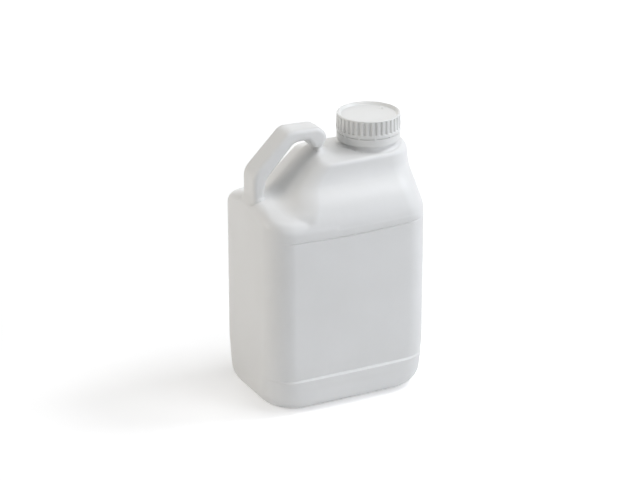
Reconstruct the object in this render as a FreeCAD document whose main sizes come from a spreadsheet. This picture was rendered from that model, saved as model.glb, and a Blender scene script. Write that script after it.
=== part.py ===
"""Five-litre plastic jerrycan with a moulded side handle and a ribbed screw cap.

Millimetres, +Z up.  The origin is the middle of the base, the handle is towards -X,
the neck towards +X, and the two broad faces look along -Y and +Y.
"""
import FreeCAD
import Part
import math
import os
import re
import Sketcher

doc = FreeCAD.newDocument("Jerrycan")

# ---------------------------------------------------------------- driving sizes
sheet = doc.addObject("Spreadsheet::Sheet", "Sizes")
sizes = [
    # walls
    ("bodyWidth", 186), ("bodyDepth", 131), ("cornerRadius", 27), ("baseRadius", 20),
    ("wallTop", 200),
    # recess under the base
    ("footWidth", 9), ("footCornerRadius", 5), ("baseRecess", 2),
    # upper block: the plateau stands this far above the walls, and each level between them lies at
    # a share of that rise, where it has drawn in by a share of the way to the plateau's outline
    ("plateauRise", 66), ("plateauRounding", 4.5), ("sideInset", 3), ("sideFlat", 2.5),
    ("startRise", 0.06), ("startDraw", 0.003),
    ("browRise", 0.24), ("browDraw", 0.06),
    ("bendRise", 0.44), ("bendDraw", 0.3),
    ("waistRise", 0.635), ("waistDraw", 0.74),
    ("collarRise", 0.82), ("collarDraw", 0.9),
    # low shoulder under the handle
    ("shoulderRise", 29), ("eaveRise", 13), ("eaveInset", 4.5), ("eaveRadius", 24), ("eaveSetback", 1.5),
    ("ridgeMargin", 2), ("ridgeSetback", 6), ("ridgeRadius", 8),
    # handle, in the middle plane: its reach is a share of the room beside the cap
    ("handleWidth", 28), ("handleSetback", 3), ("handleReach", 0.809), ("crestPlace", 0.474),
    ("kneeRise", 26), ("handleRise", 29.5), ("handleThickness", 15.4), ("palmThickness", 13),
    ("footThickness", 12), ("rootThickness", 15.5), ("rootLean", 4), ("rootSeat", 1),
    ("handleSink", 20), ("kneeRadius", 34), ("crestRadius", 20), ("rootRadius", 13),
    ("palmRadius", 17), ("palmEndRadius", 8), ("handleEdge", 5.5),
    # label panels, one on each broad face
    ("panelMargin", 4), ("panelBottom", 36), ("panelDrop", 8), ("panelSag", 2.5), ("panelDepth", 0.8),
    # neck and cap
    ("neckRadius", 29), ("neckFlare", 3.5), ("capGap", 4.4), ("capHeight", 28.2), ("capWall", 4),
    ("capRoof", 3), ("capEdge", 1.2), ("capFit", 0.4), ("rimWidth", 4.4), ("discRecess", 1.6),
    ("bandHeight", 8), ("slotHeight", 0.9), ("bridgeCount", 12), ("bridgeWidth", 2.4), ("bridgeDepth", 1.6),
    ("ribCount", 36), ("ribHeight", 0.7), ("ribWidth", 2.4), ("ribFoot", 12.6), ("ribHead", 1.6),
    ("overlap", 1),
]
for row, (name, value) in enumerate(sizes, start=1):
    sheet.set("A%d" % row, name)
    sheet.set("B%d" % row, str(value))
    sheet.setAlias("B%d" % row, name)
aliases = {name for name, _ in sizes}
doc.recompute()

# sizes and places worked out from the sheet
derived = {
    "leftFace": "-bodyWidth / 2",
    "rightFace": "bodyWidth / 2",
    "plateauHeight": "wallTop + plateauRise",
    "plateauHalfDepth": "neckRadius + neckFlare + plateauRounding",
    "plateauRadius": "plateauHalfDepth - 0.5",
    "draw": "bodyDepth / 2 - plateauHalfDepth",
    "neckX": "rightFace - sideInset - sideFlat - plateauHalfDepth",
    "capRadius": "neckRadius + capFit + capWall",
    "handleRight": "leftFace + handleReach * (neckX - capRadius - ribHeight - leftFace)",
    "plateauLeft": "handleRight - rootThickness + rootSeat",
    "shoulderHeight": "wallTop + shoulderRise",
    "kneeX": "leftFace + handleSetback",
    "kneeHeight": "shoulderHeight + kneeRise",
    "handleTop": "plateauHeight + handleRise",
    "crestX": "kneeX + crestPlace * (handleRight - kneeX)",
    "slant": "(handleTop - kneeHeight) / (crestX - kneeX)",
    "slantReach": "handleThickness * sqrt(1 + slant ^ 2)",
    "palmHeight": "handleTop - palmThickness",
    "palmStart": "kneeX + (palmHeight - kneeHeight + slantReach) / slant",
    "palmEnd": "handleRight - rootThickness - rootLean",
    "palmEase": "min(1; (palmEnd - palmStart) / (palmRadius / 2 + palmEndRadius))",
    "footInset": "baseRadius + footWidth",
    "panelLeft": "leftFace + panelMargin",
    "panelRight": "rightFace - panelMargin",
    "panelTop": "wallTop - panelDrop",
    "bore": "neckRadius + capFit",
    "wallMiddle": "(bore + capRadius) / 2",
    "discRadius": "capRadius - rimWidth",
    "capBottom": "plateauHeight + capGap",
    "capTop": "capBottom + capHeight",
    "neckTop": "capTop - discRecess - capRoof",
    "bandTop": "capBottom + bandHeight",
    "skirtBottom": "bandTop + slotHeight",
}


# ---------------------------------------------------------------- helpers
def sized(expression):
    """Writes out derived names and turns the sheet's names into references to it."""
    def written(word):
        if word[0] in derived:
            return "(%s)" % sized(derived[word[0]])
        return "Sizes." + word[0] if word[0] in aliases else word[0]
    return re.sub(r"[A-Za-z]\w*", written, expression)


def number(expression):
    """Present value of an expression, for drawing geometry near its bound place."""
    value = sheet.evalExpression(sized(expression))
    return float(getattr(value, "Value", value))


def bind(owner, path, expression):
    owner.setExpression(path, sized(expression))


def originPlane(body, role):
    return next(item for item in body.Origin.OriginFeatures if item.Role == role)


def newSketch(body, name, role, offset=None):
    sketch = body.newObject("Sketcher::SketchObject", name)
    sketch.AttachmentSupport = [(originPlane(body, role), "")]
    sketch.MapMode = "FlatFace"
    if offset is not None:
        bind(sketch, ".AttachmentOffset.Base.z", offset)
    return sketch


def pin(sketch, kind, index, point, expression):
    """Fixes one coordinate of a sketch point to a sheet expression."""
    value = number(expression)
    constraint = sketch.addConstraint(Sketcher.Constraint(kind, index, point, value))
    bind(sketch, "Constraints[%d]" % constraint, expression)


def polygon(sketch, corners):
    """Closed outline of straight sides through corners given as pairs of expressions."""
    points = [FreeCAD.Vector(number(a), number(b), 0) for a, b in corners]
    count = len(points)
    first = sketch.GeometryCount
    for i in range(count):
        sketch.addGeometry(Part.LineSegment(points[i], points[(i + 1) % count]), False)
    for i in range(count):
        following = first + (i + 1) % count
        sketch.addConstraint(Sketcher.Constraint("Coincident", first + i, 2, following, 1))
        pin(sketch, "DistanceX", first + i, 1, corners[i][0])
        pin(sketch, "DistanceY", first + i, 1, corners[i][1])


def roundedRectangle(sketch, left, right, halfDepth, radius):
    """Rounded rectangle, symmetric in the sketch's second direction."""
    a, b = number(left), number(right)
    c, r = number(halfDepth), number(radius)
    turn = math.pi / 2
    centres = [(a + r, -c + r, 2 * turn), (b - r, -c + r, 3 * turn), (b - r, c - r, 0), (a + r, c - r, turn)]
    axis = FreeCAD.Vector(0, 0, 1)
    for x, y, start in centres:
        circle = Part.Circle(FreeCAD.Vector(x, y, 0), axis, r)
        sketch.addGeometry(Part.ArcOfCircle(circle, start, start + turn), False)
    sides = [((a + r, -c), (b - r, -c)), ((b, -c + r), (b, c - r)),
             ((b - r, c), (a + r, c)), ((a, c - r), (a, -c + r))]
    for (x0, y0), (x1, y1) in sides:
        segment = Part.LineSegment(FreeCAD.Vector(x0, y0, 0), FreeCAD.Vector(x1, y1, 0))
        sketch.addGeometry(segment, False)
    for i in range(4):
        side = 4 + i
        sketch.addConstraint(Sketcher.Constraint("Tangent", i, 2, side, 1))
        sketch.addConstraint(Sketcher.Constraint("Tangent", side, 2, (i + 1) % 4, 1))
        if i:
            sketch.addConstraint(Sketcher.Constraint("Equal", 0, i))
    for side in (4, 6):
        sketch.addConstraint(Sketcher.Constraint("Horizontal", side))
    for side in (5, 7):
        sketch.addConstraint(Sketcher.Constraint("Vertical", side))
    constraint = sketch.addConstraint(Sketcher.Constraint("Radius", 0, r))
    bind(sketch, "Constraints[%d]" % constraint, radius)
    pin(sketch, "DistanceY", 4, 1, "-(%s)" % halfDepth)
    pin(sketch, "DistanceY", 6, 1, halfDepth)
    pin(sketch, "DistanceX", 7, 1, left)
    pin(sketch, "DistanceX", 5, 1, right)


def pad(body, name, sketch, length, symmetric=False):
    feature = body.newObject("PartDesign::Pad", name)
    feature.Profile = sketch
    if symmetric:
        feature.SideType = "Symmetric"
    bind(feature, "Length", length)
    doc.recompute()
    return feature


def pocket(body, name, sketch, depth, backwards=False):
    feature = body.newObject("PartDesign::Pocket", name)
    feature.Profile = sketch
    feature.Reversed = backwards
    bind(feature, "Length", depth)
    doc.recompute()
    return feature


def fillet(body, name, base, test, radius):
    """Rounds every edge of the base feature that passes the test."""
    names = ["Edge%d" % i for i, edge in enumerate(base.Shape.Edges, start=1) if test(edge)]
    feature = body.newObject("PartDesign::Fillet", name)
    feature.Base = (base, names)
    bind(feature, "Radius", radius)
    doc.recompute()
    return feature


def loft(body, name, sections):
    feature = body.newObject("PartDesign::AdditiveLoft", name)
    feature.Profile = sections[0]
    feature.Sections = sections[1:]
    doc.recompute()
    return feature


# ---------------------------------------------------------------- can
can = doc.addObject("PartDesign::Body", "can")
can.Label = "can"

wallSketch = newSketch(can, "wallSketch", "XY_Plane")
roundedRectangle(wallSketch, "leftFace", "rightFace", "bodyDepth / 2", "cornerRadius")
walls = pad(can, "walls", wallSketch, "wallTop")
fillet(can, "baseRounding", walls, lambda edge: edge.BoundBox.ZMax < 0.01, "baseRadius")

recessSketch = newSketch(can, "recessSketch", "XY_Plane")
roundedRectangle(recessSketch, "leftFace + footInset", "rightFace - footInset",
                 "bodyDepth / 2 - footInset", "footCornerRadius")
pocket(can, "recess", recessSketch, "baseRecess", backwards=True)


def outline(name, rise, sideDraw, endDraw):
    """One level of the upper block, at a share of the plateau's rise."""
    section = newSketch(can, name, "XY_Plane", "wallTop + (%s) * plateauRise" % rise)
    roundedRectangle(section, "leftFace + (%s) * (plateauLeft - leftFace)" % rise,
                     "rightFace - (%s) * sideInset" % endDraw,
                     "bodyDepth / 2 - (%s) * draw" % sideDraw,
                     "cornerRadius + (%s) * (plateauRadius - cornerRadius)" % rise)
    return section


# upper block: rounded outlines that draw in towards the plateau, the handle side on a slope
upperBlock = [
    outline("wallLevel", "0", "0", "0"),
    outline("startLevel", "startRise", "startDraw", "startDraw"),
    outline("browLevel", "browRise", "browDraw", "0.5"),
    outline("bendLevel", "bendRise", "bendDraw", "1"),
    outline("waistLevel", "waistRise", "waistDraw", "1"),
    outline("collarLevel", "collarRise", "collarDraw", "1"),
    outline("plateauLevel", "1", "1", "1"),
]
loft(can, "upperBlock", upperBlock)

# low shoulder: a shallow ridge along the middle plane that falls to eaves at the walls
shoulderLevels = [
    ("shoulderFoot", "wallTop", "leftFace", "bodyDepth / 2", "cornerRadius"),
    ("shoulderEave", "wallTop + eaveRise", "leftFace + eaveSetback",
     "bodyDepth / 2 - eaveInset", "eaveRadius"),
    ("shoulderRidge", "shoulderHeight", "leftFace + ridgeSetback",
     "handleWidth / 2 + ridgeMargin", "ridgeRadius"),
]
shoulderSections = []
for name, height, left, halfDepth, radius in shoulderLevels:
    section = newSketch(can, name, "XY_Plane", height)
    roundedRectangle(section, left, "plateauLeft", halfDepth, radius)
    shoulderSections.append(section)
shoulder = loft(can, "lowShoulder", shoulderSections)
fillet(can, "plateauEdge", shoulder,
       lambda edge: edge.BoundBox.ZMin > number("plateauHeight") - 0.01, "plateauRounding")

# neck, with a small flare where it leaves the plateau
neckSketch = newSketch(can, "neckSketch", "XY_Plane", "plateauHeight - overlap")
neckCentre = FreeCAD.Vector(number("neckX"), 0, 0)
neckSketch.addGeometry(Part.Circle(neckCentre, FreeCAD.Vector(0, 0, 1), number("neckRadius")), False)
neckCircle = neckSketch.addConstraint(Sketcher.Constraint("Radius", 0, number("neckRadius")))
bind(neckSketch, "Constraints[%d]" % neckCircle, "neckRadius")
pin(neckSketch, "DistanceX", 0, 3, "neckX")
neckSketch.addConstraint(Sketcher.Constraint("PointOnObject", 0, 3, -1))
neck = pad(can, "neck", neckSketch, "neckTop - plateauHeight + overlap")


def isNeckFoot(edge):
    box = edge.BoundBox
    level = box.ZLength < 0.01 and abs(box.ZMin - number("plateauHeight")) < 0.01
    return level and abs(box.XLength - 2 * number("neckRadius")) < 0.01


fillet(can, "neckFlareRounding", neck, isNeckFoot, "neckFlare")

# handle: a bar that rises from the low shoulder, leans over the grip and lands by the neck
knee = ("kneeX", "kneeHeight")
crest = ("crestX", "handleTop")
root = ("handleRight", "handleTop")
palmEnd = ("palmEnd", "palmHeight")
palmStart = ("palmStart", "palmHeight")
innerKnee = ("kneeX + handleThickness", "kneeHeight + handleThickness * slant - slantReach")
handleOutline = [
    ("kneeX", "shoulderHeight - handleSink"), knee, crest, root,
    ("handleRight", "plateauHeight - handleSink"),
    ("handleRight - rootThickness", "plateauHeight - handleSink"),
    ("handleRight - rootThickness", "plateauHeight"),
    palmEnd, palmStart, innerKnee,
    ("kneeX + footThickness", "shoulderHeight"),
    ("kneeX + footThickness", "shoulderHeight - handleSink"),
]
handleBody = doc.addObject("PartDesign::Body", "handle")
handleSketch = newSketch(handleBody, "handleSketch", "XZ_Plane")
polygon(handleSketch, handleOutline)
bar = pad(handleBody, "handleBar", handleSketch, "handleWidth", symmetric=True)


def acrossAt(corners):
    """Test for the edges that run across the handle at the given outline corners."""
    places = [(number(a), number(b)) for a, b in corners]

    def test(edge):
        box = edge.BoundBox
        if box.YLength < number("handleWidth") - 0.01 or box.XLength + box.ZLength > 0.01:
            return False
        return any(math.hypot(box.XMin - x, box.ZMin - z) < 0.05 for x, z in places)
    return test


def isHandleSide(edge):
    """Edges round the two flat sides of the bar, but not across its sunk ends."""
    box = edge.BoundBox
    onEnd = box.ZLength < 0.01 and box.ZMin < number("plateauHeight") - 1
    return box.YLength < 0.01 and not onEnd


bar = fillet(handleBody, "kneeBend", bar, acrossAt([knee]), "kneeRadius")
bar = fillet(handleBody, "crestBend", bar, acrossAt([crest]), "crestRadius")
bar = fillet(handleBody, "rootBend", bar, acrossAt([root]), "rootRadius")
bar = fillet(handleBody, "palmEndBend", bar, acrossAt([palmEnd]), "palmEndRadius * palmEase")
bar = fillet(handleBody, "palmBend", bar, acrossAt([palmStart, innerKnee]), "palmRadius * palmEase")
fillet(handleBody, "handleEdges", bar, isHandleSide, "handleEdge")
joined = can.newObject("PartDesign::Boolean", "handleJoin")
joined.Type = "Fuse"
joined.setObjects([handleBody])
doc.recompute()

# label panels: shallow flats whose upper edge sags towards the middle
panelSketch = newSketch(can, "panelSketch", "XZ_Plane", "bodyDepth / 2")
ends = [("panelLeft", "panelTop + panelSag"), ("panelLeft", "panelBottom"),
        ("panelRight", "panelBottom"), ("panelRight", "panelTop + panelSag")]
points = [FreeCAD.Vector(number(a), number(b), 0) for a, b in ends]
lowest = FreeCAD.Vector(0, number("panelTop"), 0)
for i in range(3):
    panelSketch.addGeometry(Part.LineSegment(points[i], points[i + 1]), False)
panelSketch.addGeometry(Part.Arc(points[0], lowest, points[3]), False)
for i in range(2):
    panelSketch.addConstraint(Sketcher.Constraint("Coincident", i, 2, i + 1, 1))
for i in range(3):
    pin(panelSketch, "DistanceX", i, 1, ends[i][0])
    pin(panelSketch, "DistanceY", i, 1, ends[i][1])
pin(panelSketch, "DistanceX", 2, 2, ends[3][0])
pin(panelSketch, "DistanceY", 2, 2, ends[3][1])
panelSketch.addConstraint(Sketcher.Constraint("Coincident", 3, 1, 0, 1))
panelSketch.addConstraint(Sketcher.Constraint("Coincident", 3, 2, 2, 2))
sagRadius = "(panelRight ^ 2 + panelSag ^ 2) / (2 * panelSag)"
sagArc = panelSketch.addConstraint(Sketcher.Constraint("Radius", 3, number(sagRadius)))
bind(panelSketch, "Constraints[%d]" % sagArc, sagRadius)
panel = pocket(can, "panel", panelSketch, "panelDepth")
panels = can.newObject("PartDesign::Mirrored", "panels")
panels.Originals = [panel]
panels.MirrorPlane = (originPlane(can, "XZ_Plane"), [""])
can.Tip = panels
doc.recompute()

# ---------------------------------------------------------------- cap, with its tamper band
cap = doc.addObject("PartDesign::Body", "cap")
cap.Label = "cap"
bind(cap, ".Placement.Base.x", "neckX")


def turned(name, corners):
    """Ring or disc turned about the cap's own axis from an outline of radius and height."""
    sketch = newSketch(cap, name + "Sketch", "XZ_Plane")
    polygon(sketch, corners)
    feature = cap.newObject("PartDesign::Revolution", name)
    feature.Profile = sketch
    feature.ReferenceAxis = (sketch, ["V_Axis"])
    feature.Angle = 360
    doc.recompute()
    return feature


def aroundCap(name, feature, count):
    pattern = cap.newObject("PartDesign::PolarPattern", name)
    pattern.Originals = [feature]
    pattern.Axis = (originPlane(cap, "Z_Axis"), [""])
    pattern.Angle = 360
    bind(pattern, "Occurrences", count)
    cap.Tip = pattern
    doc.recompute()
    return pattern


def barOnCap(name, near, far, width, low, high):
    """Upright bar on the cap's wall, between two radii and two heights."""
    sketch = newSketch(cap, name + "Sketch", "XY_Plane", low)
    polygon(sketch, [(near, "-%s / 2" % width), (far, "-%s / 2" % width),
                     (far, "%s / 2" % width), (near, "%s / 2" % width)])
    return pad(cap, name, sketch, "%s - (%s)" % (high, low))


turned("shell", [
    ("0", "neckTop"), ("bore", "neckTop"), ("bore", "skirtBottom"), ("capRadius", "skirtBottom"),
    ("capRadius", "capTop - capEdge"), ("capRadius - capEdge", "capTop"),
    ("discRadius + discRecess / 2", "capTop"), ("discRadius", "capTop - discRecess"),
    ("0", "capTop - discRecess"),
])
bridge = barOnCap("bridge", "wallMiddle - bridgeDepth / 2", "wallMiddle + bridgeDepth / 2", "bridgeWidth",
                  "bandTop - overlap", "skirtBottom + overlap")
aroundCap("bridges", bridge, "bridgeCount")
turned("band", [
    ("bore", "capBottom"), ("capRadius", "capBottom"), ("capRadius", "bandTop"), ("bore", "bandTop"),
])
rib = barOnCap("rib", "capRadius - overlap", "capRadius + ribHeight", "ribWidth",
               "capBottom + ribFoot", "capTop - ribHead")
aroundCap("ribs", rib, "ribCount")

# ---------------------------------------------------------------- checks and files
doc.recompute()
for item in doc.Objects:
    if "Invalid" in item.State or "Error" in item.State:
        raise RuntimeError("%s failed: %s" % (item.Name, item.State))
os.makedirs("parts", exist_ok=True)
for node in (can, cap):
    if node.Shape.isNull() or not node.Shape.isValid() or len(node.Shape.Solids) != 1:
        raise RuntimeError("%s is not one valid solid" % node.Label)
for node in (can, cap):
    node.Shape.exportStep("parts/%s.step" % node.Label)
    print(node.Label, node.Shape.BoundBox, round(node.Shape.Volume))
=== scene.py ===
import math
import bmesh
import bpy
import numpy as np
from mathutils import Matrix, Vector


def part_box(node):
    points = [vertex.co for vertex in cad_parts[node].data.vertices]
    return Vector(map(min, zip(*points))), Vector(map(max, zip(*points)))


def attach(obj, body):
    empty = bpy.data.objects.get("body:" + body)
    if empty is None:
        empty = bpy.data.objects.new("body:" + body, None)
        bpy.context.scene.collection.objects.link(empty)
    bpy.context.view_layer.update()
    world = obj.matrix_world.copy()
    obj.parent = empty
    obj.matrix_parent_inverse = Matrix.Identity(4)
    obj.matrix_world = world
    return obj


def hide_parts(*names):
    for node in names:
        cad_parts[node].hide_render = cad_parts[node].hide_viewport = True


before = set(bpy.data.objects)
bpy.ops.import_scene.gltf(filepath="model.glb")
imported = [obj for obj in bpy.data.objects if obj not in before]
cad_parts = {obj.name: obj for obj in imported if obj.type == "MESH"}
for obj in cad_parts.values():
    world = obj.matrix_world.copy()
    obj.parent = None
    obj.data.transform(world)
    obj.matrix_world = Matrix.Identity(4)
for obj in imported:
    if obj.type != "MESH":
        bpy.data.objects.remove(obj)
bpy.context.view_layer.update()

# A blow-moulded jerrycan and its ribbed screw cap, drawn as surfaces worked out with numpy.
# Shapes are worked out in millimetres and go into their meshes in metres, as the frame's are.
# The handle is at -X and the neck at +X, and the broad faces look along -Y and +Y.
canLow, canHigh = (np.array(corner) * 1000 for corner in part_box("can"))
capLow, capHigh = (np.array(corner) * 1000 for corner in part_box("cap"))
neckX = (capLow[0] + capHigh[0]) / 2


# Rises smoothly from 0 at one value to 1 at another: the share of the way squared, times three
# less twice that share.
def ease(value, low, high):
    share = np.clip((value - low) / (high - low), 0, 1)
    return share * share * (3 - 2 * share)


# The larger of two distances, with the edge where they meet turned to a radius: past both the
# result is the length of the two overhangs taken square to each other.
def roundMax(a, b, radius):
    overhang = np.hypot(np.maximum(a + radius, 0), np.maximum(b + radius, 0))
    return np.minimum(np.maximum(a, b), -radius) + overhang


# The larger of two distances, with a blunt corner eased off: a quarter of the reach is added
# times the square of how close the two are.
def blendMax(a, b, reach):
    closeness = np.maximum(reach - np.abs(a - b), 0) / reach
    return np.maximum(a, b) + closeness * closeness * reach / 4


# The smaller of two distances, with the hollow where they meet filled in the same way.
def blendMin(a, b, reach):
    closeness = np.maximum(reach - np.abs(a - b), 0) / np.maximum(reach, 0.001)
    return np.minimum(a, b) - closeness * closeness * reach / 4


# A cubic through the given levels that never overshoots them: each slope is the harmonic mean
# of its two neighbours' slopes.
def through(value, places, levels):
    places, levels = np.array(places, float), np.array(levels, float)
    span = np.diff(places)
    rate = np.diff(levels) / span
    before, after = rate[:-1], rate[1:]
    same = before * after > 0
    slope = np.zeros(len(places))
    slope[1:-1] = np.where(same, 2 * before * after / np.where(same, before + after, 1), 0)
    i = np.clip(np.searchsorted(places, value) - 1, 0, len(span) - 1)
    s = np.clip((value - places[i]) / span[i], 0, 1)
    start = (1 + 2 * s) * (1 - s) ** 2 * levels[i] + s * (1 - s) ** 2 * span[i] * slope[i]
    return start + s * s * (3 - 2 * s) * levels[i + 1] + s * s * (s - 1) * span[i] * slope[i + 1]


# Distance to a rounded rectangle in plan, less than zero inside it: the distance to a smaller
# rectangle with sharp corners, less the radius.
def roundedPlan(x, y, left, right, halfDepth, radius):
    besideX = np.abs(x - (left + right) / 2) - (right - left) / 2 + radius
    besideY = np.abs(y) - halfDepth + radius
    outside = np.hypot(np.maximum(besideX, 0), np.maximum(besideY, 0))
    return outside + np.minimum(np.maximum(besideX, besideY), 0) - radius


# Distance past a straight line in the middle plane, which goes through one point at an angle to
# the horizontal: the height over the point times the cosine, less the run times the sine.
def pastLine(x, z, throughX, throughZ, angle):
    lean = math.radians(angle)
    return (z - throughZ) * math.cos(lean) - (x - throughX) * math.sin(lean)


# Evenly spaced points round a rounded rectangle: four quarter turns joined by straight sides,
# measured off by length.
def walkRound(halfLength, halfWidth, radius, count):
    turn = (np.arange(720) + 0.5) * math.pi / 360
    x = np.sign(np.cos(turn)) * (halfLength - radius) + radius * np.cos(turn)
    y = np.sign(np.sin(turn)) * (halfWidth - radius) + radius * np.sin(turn)
    x, y = np.append(x, x[0]), np.append(y, y[0])
    length = np.append(0, np.cumsum(np.hypot(np.diff(x), np.diff(y))))
    first = length[-1] - math.hypot(x[0] - halfLength, y[0])
    place = (first + np.arange(count) * length[-1] / count) % length[-1]
    return np.interp(place, length, x), np.interp(place, length, y)


# A path of straight runs whose corners are turned to arcs, sampled at an even spacing.
def roundedPath(corners, radii, spacing):
    corners = [np.array(corner, float) for corner in corners]
    points = [corners[0]]
    for before, corner, after, radius in zip(corners, corners[1:], corners[2:], radii):
        into = (corner - before) / np.linalg.norm(corner - before)
        out = (after - corner) / np.linalg.norm(after - corner)
        bend = math.acos(np.clip(into @ out, -1, 1))
        across = (out - into) / np.linalg.norm(out - into)
        centre = corner + across * radius / math.cos(bend / 2)
        first = corner - into * radius * math.tan(bend / 2) - centre
        sweep = np.linspace(0, bend, 24)[:, None]
        points.extend(centre + first * np.cos(sweep) + into * radius * np.sin(sweep))
    points.append(corners[-1])
    points = np.array(points)
    length = np.append(0, np.cumsum(np.linalg.norm(np.diff(points, axis=0), axis=1)))
    place = np.linspace(0, length[-1], int(length[-1] / spacing) + 2)
    return np.stack([np.interp(place, length, points[:, i]) for i in (0, 1)], -1)


# Sends a ray from each start and stops it where the field first turns from inside to outside:
# coarse probes find the stretch, halving finds the place. A ray that never leaves goes its
# full reach.
def firstExit(start, direction, reach, field, probes=26, halvings=16):
    near = np.full(start.shape[:-1], float(reach))
    far = near.copy()
    found = np.zeros(near.shape, bool)
    for probe in range(1, probes + 1):
        length = reach * probe / probes
        fresh = (field(*np.moveaxis(start + direction * length, -1, 0)) > 0) & ~found
        near[fresh], far[fresh] = reach * (probe - 1) / probes, length
        found |= fresh
    for _ in range(halvings):
        middle = (near + far) / 2
        outside = field(*np.moveaxis(start + direction * middle[..., None], -1, 0)) > 0
        far, near = np.where(outside, middle, far), np.where(outside, near, middle)
    return start + direction * far[..., None]


weldDistance = 0.00002                      # metres: closer points are one


# Makes a closed mesh of a grid of points whose columns run round the piece; rows that shrink to
# a point or a line close when their doubles are merged.
def skin(name, grid):
    rows, columns = grid.shape[:2]
    index = np.arange(rows * columns).reshape(rows, columns)
    following = np.roll(index, -1, axis=1)
    faces = np.stack([index[:-1], following[:-1], following[1:], index[1:]], -1).reshape(-1, 4)
    mesh = bpy.data.meshes.new(name)
    mesh.from_pydata(grid.reshape(-1, 3) / 1000, [], faces)
    work = bmesh.new()
    work.from_mesh(mesh)
    bmesh.ops.remove_doubles(work, verts=work.verts, dist=weldDistance)
    bmesh.ops.recalc_face_normals(work, faces=work.faces)
    work.to_mesh(mesh)
    work.free()
    mesh.polygons.foreach_set("use_smooth", np.ones(len(mesh.polygons), bool))
    piece = bpy.data.objects.new(name, mesh)
    bpy.context.scene.collection.objects.link(piece)
    print(name, len(mesh.polygons), "faces", flush=True)
    return piece


body = {
    "crown": 1.5, "crownEdge": 0.4,                         # the broad faces swell a little
    "wallTop": 201, "cornerRadius": 27,
    "baseRadius": 19, "baseCornerGain": 14, "baseCornerHeight": 55, "baseCornerFade": 1.5,
    "footInset": 28, "footRecess": 2, "footCorner": 6, "footEdge": 1,
    # the low shoulder under the handle is a shallow roof
    "ridge": 229.5, "ridgeFall": 0.287, "ridgeHalfWidth": 8, "eaveRadius": 12, "lowLength": 74,
    "valley": 8, "valleyHeights": (208, 220), "valleyEnds": (50, 80),
    # the raised block: a slope that bows out at its sides, and a nose of its own corner radius
    "slopeRun": 1.119, "slopeBow": 0.0056, "bowHalfWidth": 60,
    "bowStart": 212, "bowFades": (222, 262), "bowLoss": 0.6,
    "nose": 14, "noseHeight": 222, "plateauCorner": 33,
    "riseHeights": [192, 198, 204, 210, 216, 222, 226, 238, 242, 247, 254, 261, 273],
    "riseInsets": [0, 0.1, 0.7, 2.1, 4.4, 7.6, 10.6, 22.4, 25.3, 27.3, 28.6, 29.1, 29.3],
    "endHeights": [190, 204, 225, 262], "endInsets": [0, 0, 2.8, 2.6],
    "plateau": 267.5, "plateauFall": 0.0040, "plateauEdge": 3,
    "rightEdge": 9, "rightEdgeFrom": (62, 86),              # a softer edge behind the neck
    # a low mound on the plateau, under the handle's end
    "mound": 7.5, "moundX": 80, "moundLength": 13, "moundWidth": 18, "moundTop": 0.2,
    # the label panels, with a line scored along the top and a lip along the bottom
    "panelBottom": 37.4, "panelTop": 192.2, "panelSag": 2.5, "panelHalfLength": 81,
    "panelFlat": 0.1, "panelCrown": 0.3, "panelStep": 1.1,
    "panelRoll": 12, "rollShare": 0.55, "topStep": 0.5,
    "lip": 1.0, "lipStarts": (22, 32), "lipEnds": (36, 60), "lipFade": 16,
    "lineDepth": 1.4, "lineHalfWidth": 0.9, "lineEnds": (0.2, 0.5),
}
edgeHalfDepth = canHigh[1] - body["crownEdge"]
bodyLeft, bodyRight = canLow[0], -canLow[0]


# How much higher the panel's upper edge lies here than at the middle: it sags by a parabola.
def sag(x):
    return body["panelSag"] * np.minimum(np.abs(x) / body["panelHalfLength"], 1) ** 2


# Half the can's depth at a place on its wall: a parabola's swell and a lip, brought in to a
# flatter parabola inside the panel, less a bell curve across the scored line.
def wallHalfDepth(x, z):
    bow = 1 - np.clip(x / bodyRight, -1, 1) ** 2
    bottom, overTop = body["panelBottom"], z - body["panelTop"] - sag(x)
    inPanel = ease(z, bottom - body["panelStep"], bottom + body["panelStep"])
    aboveTop = np.maximum(overTop, 0)
    roll = np.maximum(1 - aboveTop / body["panelRoll"], 0) ** 2
    crisp = 1 - ease(aboveTop, 0, body["topStep"])
    inPanel = inPanel * (body["rollShare"] * roll + (1 - body["rollShare"]) * crisp)
    flat = edgeHalfDepth + body["panelFlat"] + body["panelCrown"] * bow
    flat = flat - body["lip"] * (1 - ease(z, bottom, bottom + body["lipFade"]))
    lip = body["lip"] * bow * ease(z, *body["lipStarts"]) * (1 - ease(z, *body["lipEnds"]))
    halfDepth = edgeHalfDepth + body["crown"] * bow + lip
    halfDepth = halfDepth - inPanel * np.maximum(halfDepth - flat, 0)
    line = np.exp(-(overTop / body["lineHalfWidth"]) ** 2)
    return halfDepth - body["lineDepth"] * line * ease(bow, *body["lineEnds"])


# The walls under a shallow roof: its ridge is a hyperbola across the can, its eaves are rounded,
# and over the walls it stops under the raised block.
def lowShoulder(x, y, z, halfDepth, corner):
    walls = roundedPlan(x, y, bodyLeft, bodyRight, halfDepth, corner)
    fromRidge = np.hypot(y, body["ridgeHalfWidth"]) - body["ridgeHalfWidth"]
    low = roundMax(walls, z - body["ridge"] + body["ridgeFall"] * fromRidge, body["eaveRadius"])
    pastEnd = x - bodyLeft - body["lowLength"]
    return np.where(z > body["wallTop"], np.maximum(low, pastEnd), low)


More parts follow.
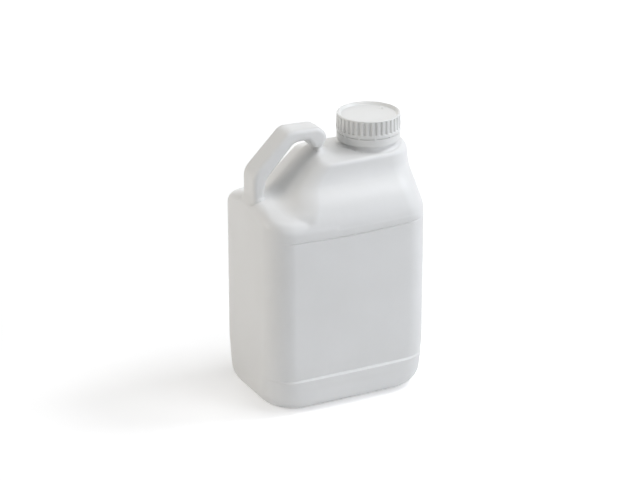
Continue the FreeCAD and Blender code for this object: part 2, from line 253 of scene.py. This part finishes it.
# The raised block: at each height a rounded rectangle that the shoulder's profile insets, with
# a slope on the handle side that bows by the square of the distance from the middle, cut off by
# a plateau that falls by a parabola and has a low round mound on it.
def raisedBlock(x, y, z, halfDepth, corner):
    wallTop = body["wallTop"]
    rise = np.clip((z - wallTop) / (body["plateau"] - wallTop), 0, 1)
    bend = body["slopeBow"] * ease(z, wallTop, body["bowStart"])
    bend = bend * (1 - body["bowLoss"] * ease(z, *body["bowFades"]))
    left = bodyLeft + body["slopeRun"] * np.maximum(z - wallTop, 0)
    left = left + bend * np.minimum(np.abs(y), body["bowHalfWidth"]) ** 2
    right = bodyRight - through(z, body["endHeights"], body["endInsets"])
    inset = through(z, body["riseHeights"], body["riseInsets"])
    rightCorner = corner + (body["plateauCorner"] - body["cornerRadius"]) * rise
    leftCorner = corner + (body["nose"] - body["cornerRadius"]) * ease(z, wallTop, body["noseHeight"])
    turn = np.where(2 * x > left + right, rightCorner, leftCorner)
    turn = np.minimum(turn, halfDepth - inset - 0.1)        # a corner never wider than the block
    block = roundedPlan(x, y, left, right, halfDepth - inset, turn)
    moundX = bodyLeft + body["moundX"]
    fromMound = np.hypot((x - moundX) / body["moundLength"], y / body["moundWidth"])
    plateau = body["plateau"] - body["plateauFall"] * y * y
    plateau = plateau + body["mound"] * (1 - ease(fromMound, body["moundTop"], 1))
    widening = ease(x, *body["rightEdgeFrom"])
    edge = body["plateauEdge"] + (body["rightEdge"] - body["plateauEdge"]) * widening
    return roundMax(block, z - plateau, edge)


# The body: the low shoulder and the raised block joined by a soft valley, rounded off at the
# base and recessed underneath. Its corners widen towards the base by a power of the depth.
def bodyField(x, y, z):
    halfDepth = wallHalfDepth(x, z)
    growth = np.clip(1 - z / body["baseCornerHeight"], 0, 1) ** body["baseCornerFade"]
    corner = body["cornerRadius"] + body["baseCornerGain"] * growth
    low = lowShoulder(x, y, z, halfDepth, corner)
    block = raisedBlock(x, y, z, halfDepth, corner)
    soft = body["valley"] * ease(z, *body["valleyHeights"])
    soft = soft * (1 - ease(x - bodyLeft, *body["valleyEnds"]))
    whole = roundMax(blendMin(low, block, soft), -z, body["baseRadius"])
    footX, footY = bodyRight - body["footInset"], edgeHalfDepth - body["footInset"]
    foot = roundedPlan(x, y, -footX, footX, footY, body["footCorner"])
    recess = roundMax(foot, z - body["footRecess"], body["footEdge"])
    return np.maximum(whole, -recess)


# The body's skin: every column starts on a short core line in the middle of the can and looks
# out at one point of the wall's outline. Its rays fan up over the base, stay level along the
# wall and fan over the shoulder, and each stops on the surface. Rows lie close at the panel's
# two edges and follow the sag of the upper one.
def makeBody():
    columns, coreHalfLength, reach = 360, 36, 120
    lowFan, highFan = 30, 198                               # heights where the rays begin to fan
    underRows, overRows = 45, 92
    rowSpacing, beside = 2.2, np.arange(-1.8, 1.9, 0.24)
    wallX, wallY = walkRound(bodyRight, edgeHalfDepth, body["cornerRadius"], columns)
    coreX = np.clip(wallX, -coreHalfLength, coreHalfLength)
    outward = np.stack([wallX - coreX, wallY], -1)
    outward /= np.linalg.norm(outward, axis=-1, keepdims=True)
    plain = np.arange(lowFan + 1.5, highFan - 1, rowSpacing)
    lines = np.concatenate([body["panelBottom"] + beside, body["panelTop"] + beside])
    clear = np.min(np.abs(plain[:, None] - lines), axis=1) > 0.8
    heights = np.sort(np.concatenate([plain[clear], lines, [lowFan]]))
    under, over = np.linspace(-90, 0, underRows)[:-1], np.linspace(0, 90, overRows)
    tilt = np.radians(np.concatenate([under, np.zeros(len(heights)), over]))[:, None]
    level = [np.full(len(under), lowFan), heights, np.full(len(over), highFan)]
    level = np.concatenate(level)[:, None]
    nearTop = ease(level, 90, body["panelTop"] - 2) * (1 - ease(level, body["panelTop"] + 2, highFan))
    level = level + np.where(tilt == 0, sag(wallX) * nearTop, 0)
    start = np.stack(np.broadcast_arrays(coreX, 0.0, level), -1)
    upward = np.broadcast_to(np.sin(tilt), (len(tilt), columns))
    direction = [outward[:, 0] * np.cos(tilt), outward[:, 1] * np.cos(tilt), upward]
    return skin("canBody", firstExit(start, np.stack(direction, -1), reach, bodyField))


# Lengths are measured from the can's left end.
handle = {
    "halfWidth": 14, "edge": 4.6, "footFillet": 4, "rootFillet": 7,
    "left": 3.3, "knee": 5.5, "outerAngle": 45, "outerThrough": 251.6,
    "top": 295.7, "topAt": 60, "topTilt": -2.3, "crest": 4.5,
    "right": 88.7, "end": 13,
    "curlX": 87.5, "curlZ": 277, "curlAngle": 232, "curlEase": 5,        # the tucked-under tip
    "sole": 273.2, "soleFrom": 60, "soleEdge": 3.5,
    "innerLeft": 17, "innerLeftZ": 238, "innerLean": 12,
    "innerAngle": 47, "innerThrough": 227.4, "innerKnee": 2.4,
    "palm": 282.6, "palmEase": 4.6,
    "innerRight": 69.5, "innerRightZ": 279, "rightLean": 36, "innerEnd": 3.3,
    "spine": [(9, 238), (9.4, 249), (48, 289.2), (80, 289.2), (80, 277)],
    "spineBends": [26, 20, 11.5], "coreHalfThickness": 7.5,
}


# The handle: the part between an outer and an inner outline, each the largest of the distances
# past its straight runs with the corners eased, cut flat at both sides with rounded edges.
def handleField(x, y, z):
    x = x - bodyLeft
    arm = pastLine(x, z, 0, handle["outerThrough"], handle["outerAngle"])
    top = pastLine(x, z, handle["topAt"], handle["top"], handle["topTilt"])
    curl = pastLine(x, z, handle["curlX"], handle["curlZ"], handle["curlAngle"])
    sole = np.where(x > handle["soleFrom"], handle["sole"] - z, -20)
    outer = blendMax(handle["left"] - x, arm, handle["knee"])
    outer = blendMax(outer, top, handle["crest"])
    outer = roundMax(outer, x - handle["right"], handle["end"])
    outer = blendMax(outer, curl, handle["curlEase"])
    outer = roundMax(outer, sole, handle["soleEdge"])
    foot = pastLine(x, z, handle["innerLeft"], handle["innerLeftZ"], 90 - handle["innerLean"])
    arm = pastLine(x, z, 0, handle["innerThrough"], handle["innerAngle"])
    end = -pastLine(x, z, handle["innerRight"], handle["innerRightZ"], 90 + handle["rightLean"])
    inner = blendMax(foot, arm, handle["innerKnee"])
    inner = blendMax(inner, z - handle["palm"], handle["palmEase"])
    inner = blendMax(inner, end, handle["innerEnd"])
    band = np.maximum(outer, -inner)
    return roundMax(band, np.abs(y) - handle["halfWidth"], handle["edge"])


neck = {"radius": 29, "top": 294, "flare": 6}


# The neck: an upright cylinder cut off at its top.
def neckField(x, y, z):
    return np.maximum(np.hypot(x - neckX, y) - neck["radius"], z - neck["top"])


grown = {"widens": (-70, -20), "sink": 0.6, "sinkFrom": 0.75, "sinkTo": 1.3}


# A moulding blended into the body with a fillet that widens from one end of the can to the
# other. Clear of the fillet the surface is let a little way down into the body, so that only
# the body's own skin shows there.
def grownField(field, leftReach, rightReach):
    def joined(x, y, z):
        own = field(x, y, z)
        reach = leftReach + (rightReach - leftReach) * ease(x, *grown["widens"])
        clear = ease(own, reach * grown["sinkFrom"], reach * grown["sinkTo"])
        return blendMin(own, bodyField(x, y, z), reach) + grown["sink"] * clear
    return joined


# The skin of a bar that follows a path in the middle plane: rays leave the path square to it
# all round, fan over both ends, and stop on the field.
def makeBar(name, path, section, field, reach, fanRows):
    ahead = np.gradient(path, axis=0)
    ahead /= np.linalg.norm(ahead, axis=1, keepdims=True)
    fan = np.radians(np.linspace(90, 0, fanRows))[:-1]
    tilt = np.concatenate([-fan, np.zeros(len(path)), fan[::-1]])[:, None]
    first, last = np.zeros(len(fan), int), np.full(len(fan), len(path) - 1)
    keep = np.concatenate([first, np.arange(len(path)), last])
    path, ahead = path[keep], ahead[keep]
    sideways, across = section[0] / np.hypot(*section), section[1] / np.hypot(*section)
    directionX = -ahead[:, 1:] * sideways * np.cos(tilt) + ahead[:, :1] * np.sin(tilt)
    directionY = across * np.cos(tilt)
    directionZ = ahead[:, :1] * sideways * np.cos(tilt) + ahead[:, 1:] * np.sin(tilt)
    direction = np.stack([directionX, directionY, directionZ], -1)
    start = np.stack(np.broadcast_arrays(path[:, :1], 0.0, path[:, 1:], directionX)[:3], -1)
    return skin(name, firstExit(start, direction, reach, field))


def makeHandle():
    corners = [(bodyLeft + x, z) for x, z in handle["spine"]]
    path = roundedPath(corners, handle["spineBends"], 1.1)
    section = walkRound(handle["coreHalfThickness"], handle["halfWidth"], handle["edge"], 96)
    field = grownField(handleField, handle["footFillet"], handle["rootFillet"])
    return makeBar("canHandle", path, section, field, reach=22, fanRows=34)


def makeNeck():
    path = roundedPath([(neckX, neck["top"] - 6), (neckX, body["plateau"] + 5)], [], 2)
    section = walkRound(1, 1, 0.999, 180)                   # as good as a circle
    field = grownField(neckField, neck["flare"], neck["flare"])
    return makeBar("canNeck", path, section, field, reach=44, fanRows=60)


cap = {
    "draft": 0.5, "topEdge": 1.0, "rim": 2.7, "recess": 3.0, "disc": 29,
    "grooves": 36, "grooveColumns": 18, "grooveDepth": 1.9,
    "grooveShare": 0.44, "grooveEase": 0.16, "grooveBottom": 12.6, "grooveTop": 27,
    "band": 8, "bandInset": 0.45, "slot": 1.0, "slotDepth": 1.5,
    "bridges": 12, "bridgeHalfWidth": 1.3, "bridgeEase": 0.4,
    "wall": 4, "ceiling": 8,
    "pipAngle": 24, "pipRadius": 22.5, "pipHalfWidth": 1.7,              # the mould's gate mark
}
capBottom, capTop = capLow[2], capHigh[2]
capRadius = (capHigh[0] - capLow[0]) / 2
slotLow = capBottom + cap["band"]
slotHigh = slotLow + cap["slot"]
discHeight = capTop - cap["recess"]


# The cap's outline as radius and height, from the middle of its disc over the rim, down the
# wall with close rows at the slot, and in under its hollow to the middle again.
def capOutline():
    side = capRadius - cap["draft"]
    rim = [(0.01, discHeight), (cap["disc"], discHeight), (capRadius - cap["rim"], capTop - 0.3),
           (side - 0.2, capTop), (side, capTop - 1.6)]
    heights = np.concatenate([
        np.linspace(capTop - 1.8, slotHigh + 0.25, 40),     # the grooves and the collar
        np.linspace(slotHigh + 0.12, slotLow - 0.12, 9),    # the slot
        np.linspace(slotLow - 0.3, capBottom + 0.7, 12)])   # the tamper band
    inner, ceiling = capRadius - cap["wall"], capBottom + cap["ceiling"]
    foot = [(capRadius, capBottom + 0.6), (capRadius, capBottom), (inner, capBottom), (inner, ceiling)]
    return np.concatenate([
        roundedPath(rim, [0.8, 0.5, cap["topEdge"]], 0.62),
        np.stack([np.full(len(heights), capRadius), heights], -1),
        roundedPath(foot, [0.5, 0.3], 0.9),
        np.stack([np.linspace(inner - 1, 0.01, 12), np.full(12, ceiling)], -1)])


# The cap: its outline turned about its axis. The wall leans in by its draft. Grooves are pressed
# into it between the rim and a plain collar, and the slot over the tamper band is cut in to a
# depth except at its bridges. The gate mark on the disc is a pit in a low ring.
def makeCap():
    outline = capOutline()
    r, z = outline[:, :1], outline[:, 1:]
    columns = cap["grooves"] * cap["grooveColumns"]
    turn = np.arange(columns) * 2 * math.pi / columns
    share = np.abs((turn * cap["grooves"] / (2 * math.pi)) % 1 - 0.5) * 2
    grooveLow, grooveHigh = capBottom + cap["grooveBottom"], capBottom + cap["grooveTop"]
    fromGroove = share - cap["grooveShare"]
    pressed = 1 - ease(fromGroove, -cap["grooveEase"], cap["grooveEase"])
    pressed = pressed * ease(z, grooveLow - 0.5, grooveLow + 0.3)
    pressed = pressed * (1 - ease(z, grooveHigh - 0.5, grooveHigh + 0.4))
    step = 2 * math.pi / cap["bridges"]
    fromBridge = np.abs((turn / step) % 1 - 0.5) * step * capRadius - cap["bridgeHalfWidth"]
    cut = ease(fromBridge, -cap["bridgeEase"], cap["bridgeEase"])
    cut = cut * ease(z, slotLow - 0.1, slotLow + 0.15) * (1 - ease(z, slotHigh - 0.15, slotHigh + 0.1))
    lean = cap["draft"] * ease(z, slotHigh, capTop)
    lean = lean + cap["bandInset"] * (1 - ease(z, slotLow - 0.2, slotHigh))
    draw = lean + cap["grooveDepth"] * pressed + cap["slotDepth"] * cut
    onWall = (r > capRadius - 1.2) & (z < capTop - 1.7)
    r = r - np.where(onWall, draw, 0)
    x, y = neckX + r * np.cos(turn), r * np.sin(turn)
    pipTurn = math.radians(cap["pipAngle"])
    pipX, pipY = neckX + cap["pipRadius"] * math.cos(pipTurn), cap["pipRadius"] * math.sin(pipTurn)
    apart = np.hypot(x - pipX, y - pipY) / cap["pipHalfWidth"]
    mark = 0.5 * np.exp(-(apart - 1.2) ** 2 * 4) - 0.8 * np.exp(-apart ** 2 * 2)
    return skin("capShell", np.stack([x, y, z + np.where(z > discHeight - 0.1, mark, 0)], -1))


# An sRGB hex colour as the linear values that a shader takes.
def linear(colour):
    levels = [int(colour[i:i + 2], 16) / 255 for i in (1, 3, 5)]
    return [v / 12.92 if v <= 0.04045 else ((v + 0.055) / 1.055) ** 2.4 for v in levels] + [1]


# Adds one node, sets what it is given, by name or by a socket's number, and links its inputs:
# at0 is the first socket, and an underscore stands for a space.
def addNode(tree, kind, settings=None, **links):
    node = tree.nodes.new(kind)
    for name, value in (settings or {}).items():
        if isinstance(name, int) or name in node.inputs:
            node.inputs[name].default_value = value
        else:
            setattr(node, name, value)
    for name, source in links.items():
        socket = int(name[2:]) if name.startswith("at") else name.replace("_", " ")
        tree.links.new(source, node.inputs[socket])
    return node


def newMaterial(name):
    material = bpy.data.materials.new(name)
    material.use_nodes = True
    material.node_tree.nodes.clear()
    return material, material.node_tree


# Natural white high-density polyethylene, blown into a matt-blasted mould: a waxy, faintly
# see-through white with a broad soft sheen, a fine dull grain and slow waves where the wall
# cooled unevenly. The blasted grain is really under a tenth of a millimetre and is drawn coarser,
# so that it shows. Patterns, their depths and how deep the light goes in are in millimetres.
hdpe = {"colour": "#e9e9e8", "shade": "#e1e1df", "roughness": 0.42, "ior": 1.54,
        "clouds": 60, "grain": 0.9, "grainDepth": 0.03, "wave": 16, "waveDepth": 0.3,
        "glow": 0.12, "glowDepth": 3}


def blowMouldedHdpe():
    material, tree = newMaterial("blowMouldedHdpe")
    place = addNode(tree, "ShaderNodeTexCoord").outputs["Object"]
    clouds = addNode(tree, "ShaderNodeTexNoise", {"Scale": 1000 / hdpe["clouds"], "Detail": 2},
                     Vector=place)
    tones = {"data_type": "RGBA", 6: linear(hdpe["colour"]), 7: linear(hdpe["shade"])}
    colour = addNode(tree, "ShaderNodeMix", tones, at0=clouds.outputs["Fac"])
    grain = addNode(tree, "ShaderNodeTexNoise", {"Scale": 1000 / hdpe["grain"], "Detail": 3},
                    Vector=place)
    fine = addNode(tree, "ShaderNodeBump",
                   {"Strength": 0.35, "Distance": hdpe["grainDepth"] / 1000},
                   Height=grain.outputs["Fac"])
    wave = addNode(tree, "ShaderNodeTexNoise", {"Scale": 1000 / hdpe["wave"], "Detail": 1},
                   Vector=place)
    broad = addNode(tree, "ShaderNodeBump",
                    {"Strength": 0.5, "Distance": hdpe["waveDepth"] / 1000},
                    Height=wave.outputs["Fac"], Normal=fine.outputs["Normal"])
    shader = addNode(tree, "ShaderNodeBsdfPrincipled",
                     {"Roughness": hdpe["roughness"], "IOR": hdpe["ior"],
                      "Subsurface Weight": hdpe["glow"], "Subsurface Radius": (1.0, 0.95, 0.9),
                      "Subsurface Scale": hdpe["glowDepth"] / 1000},
                     Base_Color=colour.outputs[2], Normal=broad.outputs["Normal"])
    addNode(tree, "ShaderNodeOutputMaterial", None, Surface=shader.outputs[0])
    return material


# White polypropylene, injection moulded in a polished tool: smoother and a little glossier than
# the can, and a shade creamier. Its grain is drawn coarser than it is, so that it shows.
polypropylene = {"colour": "#e8e8e6", "shade": "#dfdfdc", "roughness": 0.34, "ior": 1.49,
                 "clouds": 25, "grain": 1.4, "grainDepth": 0.03, "glow": 0.1, "glowDepth": 2}


def injectionMouldedPolypropylene():
    finish = polypropylene
    material, tree = newMaterial("injectionMouldedPolypropylene")
    place = addNode(tree, "ShaderNodeTexCoord").outputs["Object"]
    clouds = addNode(tree, "ShaderNodeTexNoise", {"Scale": 1000 / finish["clouds"], "Detail": 2},
                     Vector=place)
    tones = {"data_type": "RGBA", 6: linear(finish["colour"]), 7: linear(finish["shade"])}
    colour = addNode(tree, "ShaderNodeMix", tones, at0=clouds.outputs["Fac"])
    grain = addNode(tree, "ShaderNodeTexNoise", {"Scale": 1000 / finish["grain"], "Detail": 2},
                    Vector=place)
    fine = addNode(tree, "ShaderNodeBump",
                   {"Strength": 0.25, "Distance": finish["grainDepth"] / 1000},
                   Height=grain.outputs["Fac"])
    shader = addNode(tree, "ShaderNodeBsdfPrincipled",
                     {"Roughness": finish["roughness"], "IOR": finish["ior"],
                      "Subsurface Weight": finish["glow"], "Subsurface Radius": (1.0, 0.95, 0.9),
                      "Subsurface Scale": finish["glowDepth"] / 1000},
                     Base_Color=colour.outputs[2], Normal=fine.outputs["Normal"])
    addNode(tree, "ShaderNodeOutputMaterial", None, Surface=shader.outputs[0])
    return material


# Angles are in degrees. The camera's places are in millimetres, the floor's in metres.
studio = {
    "azimuth": 26.99, "elevation": 22.35, "lens": 146.25, "distance": 2756, "aim": 150,
    "moveRight": -5.7, "moveUp": 11.35,
    "fill": 0.1,
    "floorSize": 30, "floorColour": "#f2f2f2", "floorLift": 0.38, "liftGrows": (0.5, 1.6),
}

# Each lamp's name, azimuth from the front towards the neck's side, elevation, distance and width
# in metres, watts and colour.
lamps = [
    ("overhead", 60, 86, 1.8, 0.5, 4.7, "#ffffff"),
    ("highSoftbox", 30, 60, 2.2, 0.7, 4.4, "#ffffff"),
    ("sideKey", 78, 50, 2.0, 0.6, 15, "#f7faff"),
    ("leftSoftbox", -105, 18, 2.2, 1.2, 18, "#fffaf3"),
    ("frontSoftbox", -12, 25, 2.4, 1.2, 6.4, "#f8faff"),
    ("rightSoftbox", 45, 20, 2.4, 1.4, 16.4, "#f1f6ff"),
    ("backSoftbox", 165, 15, 2.4, 1.4, 6, "#ffffff"),
]


# A camera without roll that looks down at the can, moved a little sideways and up.
def makeCamera():
    turn, tilt = math.radians(studio["azimuth"]), math.radians(studio["elevation"])
    back = np.array([-math.sin(turn) * math.cos(tilt), -math.cos(turn) * math.cos(tilt), math.sin(tilt)])
    right = np.array([math.cos(turn), -math.sin(turn), 0])
    up = np.cross(back, right)
    place = np.array([0, 0, studio["aim"]]) + back * studio["distance"]
    place = place + right * studio["moveRight"] + up * studio["moveUp"]
    camera = bpy.data.objects.new("camera", bpy.data.cameras.new("camera"))
    camera.data.lens = studio["lens"]
    camera.location = place / 1000
    camera.rotation_euler = (math.pi / 2 - tilt, 0, -turn)
    bpy.context.scene.collection.objects.link(camera)
    bpy.context.scene.camera = camera


# A soft square lamp that faces the middle of the can.
def addLamp(name, azimuth, elevation, distance, width, power, colour):
    turn, tilt = math.radians(azimuth), math.radians(elevation)
    data = bpy.data.lights.new(name, "AREA")
    data.size, data.energy, data.color = width, power, linear(colour)[:3]
    lamp = bpy.data.objects.new(name, data)
    level, height = distance * math.cos(tilt), distance * math.sin(tilt)
    lamp.location = (level * math.sin(turn), -level * math.cos(turn), studio["aim"] / 1000 + height)
    lamp.rotation_euler = (math.pi / 2 - tilt, 0, turn)
    bpy.context.scene.collection.objects.link(lamp)


# Adds up the rays that should see a white studio: the camera's own, and those that a gloss or
# something clear sends on.
def whiteRays(tree):
    path = addNode(tree, "ShaderNodeLightPath")
    seen = addNode(tree, "ShaderNodeMath", {"operation": "ADD"},
                   at0=path.outputs["Is Camera Ray"], at1=path.outputs["Is Glossy Ray"])
    return addNode(tree, "ShaderNodeMath", {"operation": "ADD", "use_clamp": True},
                   at0=seen.outputs[0], at1=path.outputs["Is Transmission Ray"])


# White where those rays see it; the plain level of the fill light for everything else.
def makeWorld():
    world = bpy.data.worlds.new("studioWhite")
    world.use_nodes = True
    tree = world.node_tree
    tree.nodes.clear()
    strength = addNode(tree, "ShaderNodeMix", {"data_type": "FLOAT", 2: studio["fill"], 3: 1},
                       at0=whiteRays(tree).outputs[0])
    light = addNode(tree, "ShaderNodeBackground", {"Color": (1, 1, 1, 1)}, Strength=strength.outputs[0])
    addNode(tree, "ShaderNodeOutputWorld", None, Surface=light.outputs[0])
    bpy.context.scene.world = world


# A matt white sheet that keeps the can's shadow, lifted to white by a little glow of its own
# that only those rays see and that grows with the distance from the can.
def makeFloor():
    half = studio["floorSize"] / 2
    corners = [(-half, -half, 0), (half, -half, 0), (half, half, 0), (-half, half, 0)]
    mesh = bpy.data.meshes.new("floor")
    mesh.from_pydata(corners, [], [(0, 1, 2, 3)])
    material, tree = newMaterial("mattWhitePaper")
    paper = addNode(tree, "ShaderNodeBsdfDiffuse", {"Color": linear(studio["floorColour"])})
    place = addNode(tree, "ShaderNodeTexCoord").outputs["Object"]
    away = addNode(tree, "ShaderNodeVectorMath", {"operation": "LENGTH"}, at0=place)
    near, far = studio["liftGrows"]
    rise = addNode(tree, "ShaderNodeMapRange",
                   {"interpolation_type": "SMOOTHSTEP", "From Min": near, "From Max": far,
                    "To Min": studio["floorLift"], "To Max": 1.0},
                   at0=away.outputs["Value"])
    lift = addNode(tree, "ShaderNodeMath", {"operation": "MULTIPLY"},
                   at0=whiteRays(tree).outputs[0], at1=rise.outputs[0])
    glow = addNode(tree, "ShaderNodeEmission", {"Color": (1, 1, 1, 1)}, Strength=lift.outputs[0])
    both = addNode(tree, "ShaderNodeAddShader", None, at0=paper.outputs[0], at1=glow.outputs[0])
    addNode(tree, "ShaderNodeOutputMaterial", None, Surface=both.outputs[0])
    mesh.materials.append(material)
    floor = bpy.data.objects.new("floor", mesh)
    bpy.context.scene.collection.objects.link(floor)


makeCamera()
makeWorld()
makeFloor()
for lamp in lamps:
    addLamp(*lamp)
bpy.context.scene.view_settings.view_transform = "Standard"
print("studio ready", flush=True)

canFinish, capFinish = blowMouldedHdpe(), injectionMouldedPolypropylene()
for piece in (makeBody(), makeHandle(), makeNeck()):
    piece.data.materials.append(canFinish)
    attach(piece, "root")
    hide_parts("can")
shell = makeCap()
shell.data.materials.append(capFinish)
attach(shell, "root")
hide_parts("cap")
print("can and cap made", flush=True)
